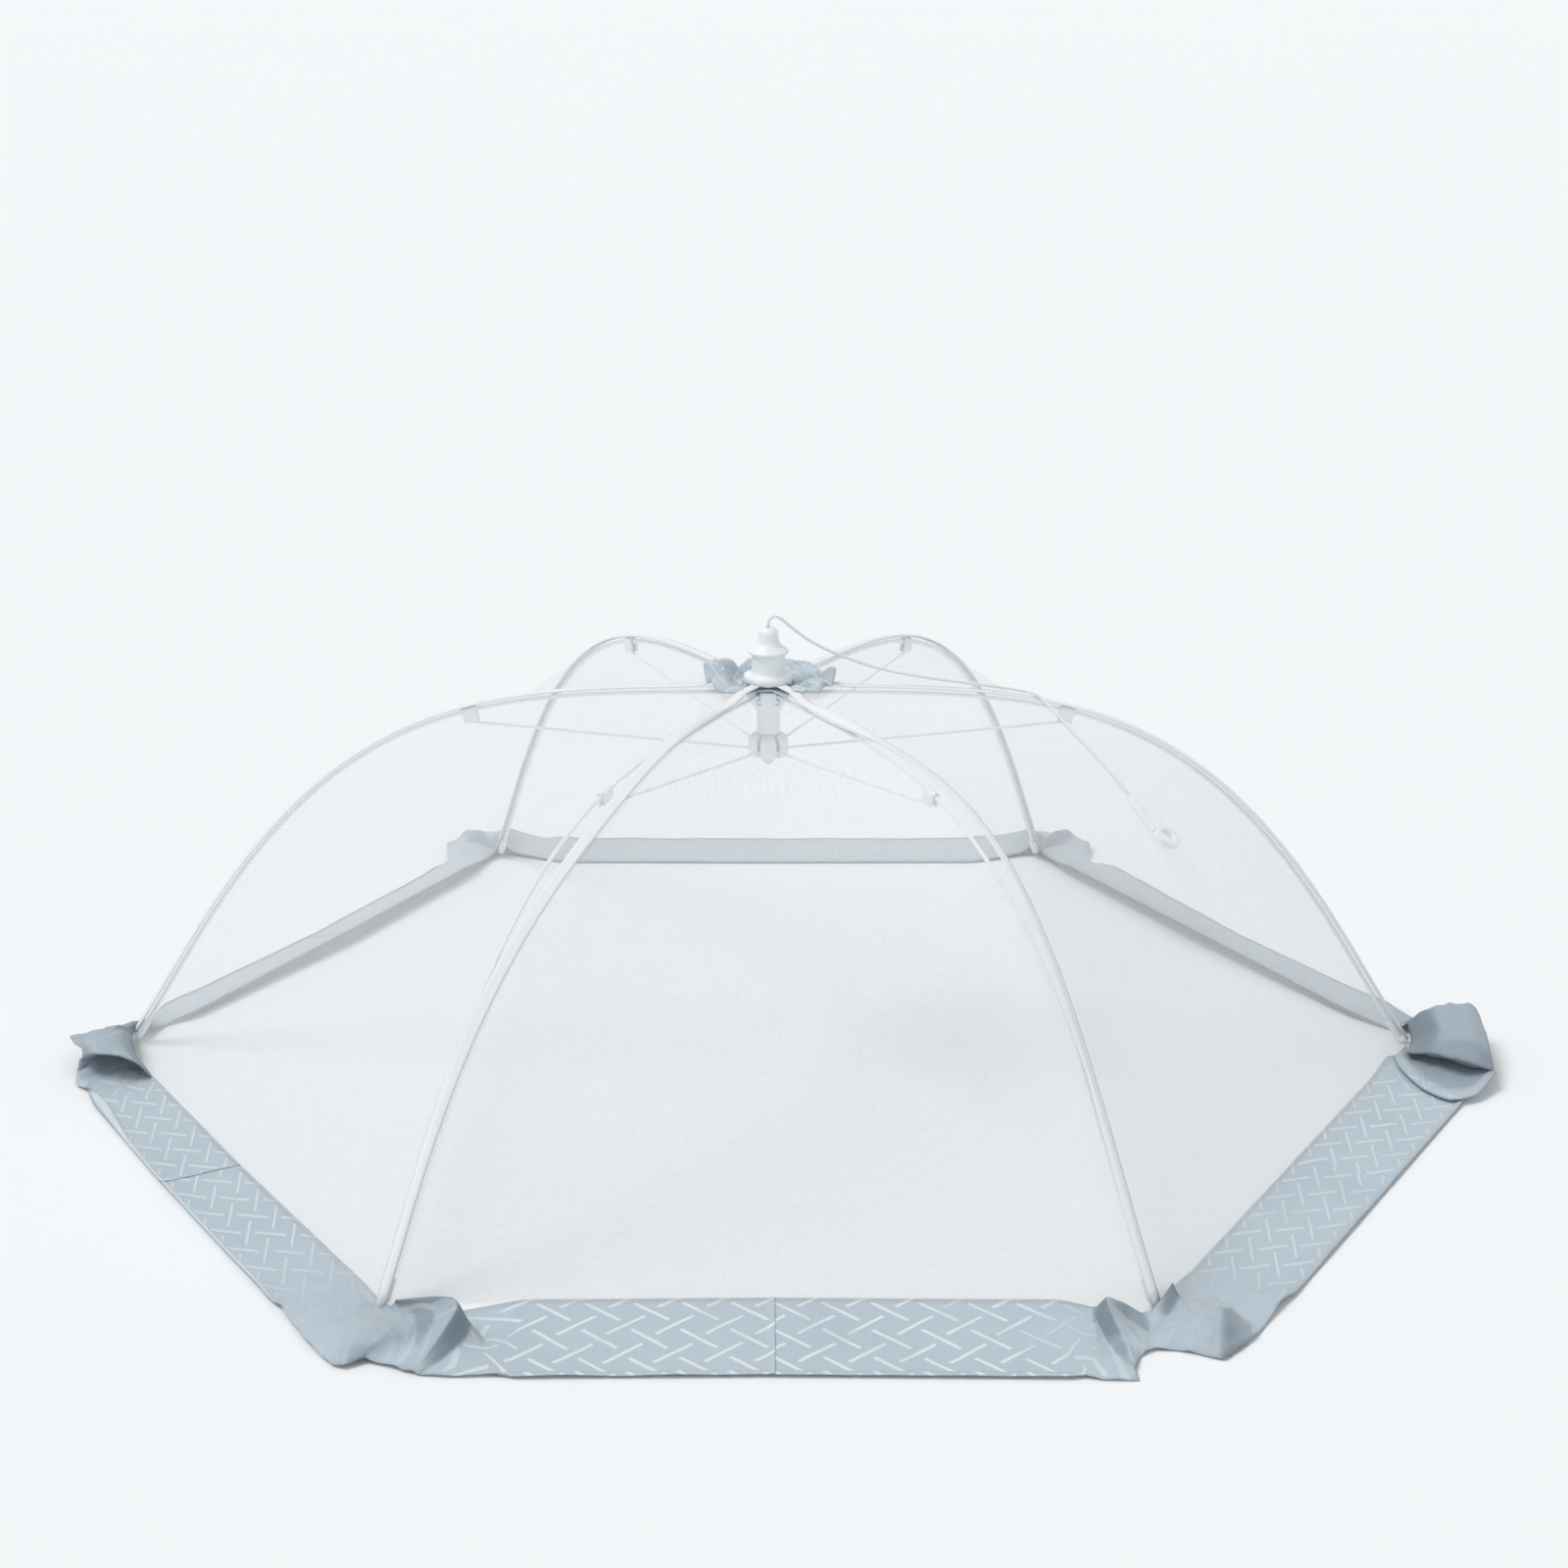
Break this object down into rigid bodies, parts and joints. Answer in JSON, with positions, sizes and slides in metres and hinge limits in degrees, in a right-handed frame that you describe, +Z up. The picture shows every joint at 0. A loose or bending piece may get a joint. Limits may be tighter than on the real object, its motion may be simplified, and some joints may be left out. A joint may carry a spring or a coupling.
{
  "type": "mesh food cover umbrella",
  "caption": "Folding umbrella-style food cover: a net dome on curved ribs with a printed fabric hem, a central hub and runner, and a pull cord that opens it.",
  "frame": {"origin": "centre of the rib hexagon on the table plane, under the finial", "axes": "+Z up along the dome's axis; +X towards one rib; the viewer of the picture stands at -Y"},
  "size_m": [0.9132, 0.816, 0.2773],
  "materials": {
    "moulded_plastic": "satin white",
    "coated_wire": "smooth white coating",
    "ring_steel": "drawn wire",
    "net": "fine open white net",
    "seam_tape": "folded white seam",
    "printed_fabric": "matt grey-blue with a pale basket-weave print",
    "cord": "braided"
  },
  "bodies": {
    "hub": {"rib_hub": "moulded_plastic", "hub_ring_wire": "ring_steel", "top_cap": "moulded_plastic", "cap_finial": "moulded_plastic", "crown_patch": "printed_fabric", "pull_cord_upper": "cord"},
    "runner": {"runner": "moulded_plastic", "runner_ring_wire": "ring_steel", "inner_cord": "cord"},
    "pull": {"pull_cord_lower": "cord", "cord_pull": "moulded_plastic"},
    "rib_1_set": {"rib_1": "coated_wire", "rib_tip_1": "moulded_plastic", "stretcher_clip_1": "moulded_plastic", "seam_tape_1": "seam_tape", "canopy_1": "net", "hem_band_1": "printed_fabric", "hem_corner_1": "printed_fabric"},
    "stretcher_1_set": {"stretcher_1": "coated_wire"},
    "rib_2_set": {"rib_2": "coated_wire", "rib_tip_2": "moulded_plastic", "stretcher_clip_2": "moulded_plastic", "seam_tape_2": "seam_tape", "canopy_2": "net", "hem_band_2": "printed_fabric", "hem_corner_2": "printed_fabric"},
    "stretcher_2_set": {"stretcher_2": "coated_wire"},
    "rib_3_set": {"rib_3": "coated_wire", "rib_tip_3": "moulded_plastic", "stretcher_clip_3": "moulded_plastic", "seam_tape_3": "seam_tape", "canopy_3": "net", "hem_band_3": "printed_fabric", "hem_corner_3": "printed_fabric"},
    "stretcher_3_set": {"stretcher_3": "coated_wire"},
    "rib_4_set": {"rib_4": "coated_wire", "rib_tip_4": "moulded_plastic", "stretcher_clip_4": "moulded_plastic", "seam_tape_4": "seam_tape", "canopy_4": "net", "hem_band_4": "printed_fabric", "hem_corner_4": "printed_fabric"},
    "stretcher_4_set": {"stretcher_4": "coated_wire"},
    "rib_5_set": {"rib_5": "coated_wire", "rib_tip_5": "moulded_plastic", "stretcher_clip_5": "moulded_plastic", "seam_tape_5": "seam_tape", "canopy_5": "net", "hem_band_5": "printed_fabric", "hem_corner_5": "printed_fabric"},
    "stretcher_5_set": {"stretcher_5": "coated_wire"},
    "rib_6_set": {"rib_6": "coated_wire", "rib_tip_6": "moulded_plastic", "stretcher_clip_6": "moulded_plastic", "seam_tape_6": "seam_tape", "canopy_6": "net", "hem_band_6": "printed_fabric", "hem_corner_6": "printed_fabric"},
    "stretcher_6_set": {"stretcher_6": "coated_wire"}
  },
  "joints": [
    {"name": "rib_1_fold", "type": "hinge", "parent": "hub", "child": "rib_1_set", "pos_m": [0.0095, 0, 0.2276], "axis": [0, 1, 0], "range_deg": [0, 57], "deforming": ["canopy_1", "hem_band_1", "hem_corner_1"]},
    {"name": "rib_2_fold", "type": "hinge", "parent": "hub", "child": "rib_2_set", "pos_m": [0.00475, 0.00823, 0.2276], "axis": [-0.866, 0.5, 0], "range_deg": [0, 57.01], "deforming": ["canopy_2", "hem_band_2", "hem_corner_2"]},
    {"name": "rib_3_fold", "type": "hinge", "parent": "hub", "child": "rib_3_set", "pos_m": [-0.00475, 0.00823, 0.2276], "axis": [-0.866, -0.5, 0], "range_deg": [0, 57.01], "deforming": ["canopy_3", "hem_band_3", "hem_corner_3"]},
    {"name": "rib_4_fold", "type": "hinge", "parent": "hub", "child": "rib_4_set", "pos_m": [-0.0095, 0, 0.2276], "axis": [0, -1, 0], "range_deg": [0, 57.01], "deforming": ["canopy_4", "hem_band_4", "hem_corner_4"]},
    {"name": "rib_5_fold", "type": "hinge", "parent": "hub", "child": "rib_5_set", "pos_m": [-0.00475, -0.00823, 0.2276], "axis": [0.866, -0.5, 0], "range_deg": [0, 57.01], "deforming": ["canopy_5", "hem_band_5", "hem_corner_5"]},
    {"name": "rib_6_fold", "type": "hinge", "parent": "hub", "child": "rib_6_set", "pos_m": [0.00475, -0.00823, 0.2276], "axis": [0.866, 0.5, 0], "range_deg": [0, 57.01], "deforming": ["canopy_6", "hem_band_6", "hem_corner_6"]},
    {"name": "stretcher_1_swing", "type": "hinge", "parent": "rib_1_set", "child": "stretcher_1_set", "pos_m": [0.1786, 0, 0.2128], "axis": [0, -1, 0], "range_deg": [0, 112.86]},
    {"name": "stretcher_2_swing", "type": "hinge", "parent": "rib_2_set", "child": "stretcher_2_set", "pos_m": [0.0893, 0.15467, 0.2128], "axis": [0.866, -0.5, 0], "range_deg": [0, 112.86]},
    {"name": "stretcher_3_swing", "type": "hinge", "parent": "rib_3_set", "child": "stretcher_3_set", "pos_m": [-0.0893, 0.15467, 0.2128], "axis": [0.866, 0.5, 0], "range_deg": [0, 112.86]},
    {"name": "stretcher_4_swing", "type": "hinge", "parent": "rib_4_set", "child": "stretcher_4_set", "pos_m": [-0.1786, 0, 0.2128], "axis": [0, 1, 0], "range_deg": [0, 112.86]},
    {"name": "stretcher_5_swing", "type": "hinge", "parent": "rib_5_set", "child": "stretcher_5_set", "pos_m": [-0.0893, -0.15467, 0.2128], "axis": [-0.866, 0.5, 0], "range_deg": [0, 112.86]},
    {"name": "stretcher_6_swing", "type": "hinge", "parent": "rib_6_set", "child": "stretcher_6_set", "pos_m": [0.0893, -0.15467, 0.2128], "axis": [-0.866, -0.5, 0], "range_deg": [0, 112.86]},
    {"name": "runner_slide", "type": "slide", "parent": "hub", "child": "runner", "axis": [0, 0, -1], "range_m": [0, 0.2675], "deforming": ["inner_cord"]},
    {"name": "pull_draw", "type": "slide", "parent": "hub", "child": "pull", "axis": [-0.8923, 0.2791, 0.3549], "range_m": [0, 0.2254], "deforming": ["pull_cord_upper", "pull_cord_lower"]}
  ],
  "couplings": [
    {"joint": "rib_2_fold", "follows": "rib_1_fold", "ratio": 1},
    {"joint": "rib_3_fold", "follows": "rib_1_fold", "ratio": 1},
    {"joint": "rib_4_fold", "follows": "rib_1_fold", "ratio": 1},
    {"joint": "rib_5_fold", "follows": "rib_1_fold", "ratio": 1},
    {"joint": "rib_6_fold", "follows": "rib_1_fold", "ratio": 1},
    {"joint": "stretcher_1_swing", "follows": "rib_1_fold", "ratio": 1.9791},
    {"joint": "stretcher_2_swing", "follows": "rib_1_fold", "ratio": 1.9791},
    {"joint": "stretcher_3_swing", "follows": "rib_1_fold", "ratio": 1.9791},
    {"joint": "stretcher_4_swing", "follows": "rib_1_fold", "ratio": 1.9791},
    {"joint": "stretcher_5_swing", "follows": "rib_1_fold", "ratio": 1.9791},
    {"joint": "stretcher_6_swing", "follows": "rib_1_fold", "ratio": 1.9791},
    {"joint": "runner_slide", "follows": "rib_1_fold", "m_per_rad": 0.26883},
    {"joint": "pull_draw", "follows": "rib_1_fold", "m_per_rad": 0.22644}
  ]
}
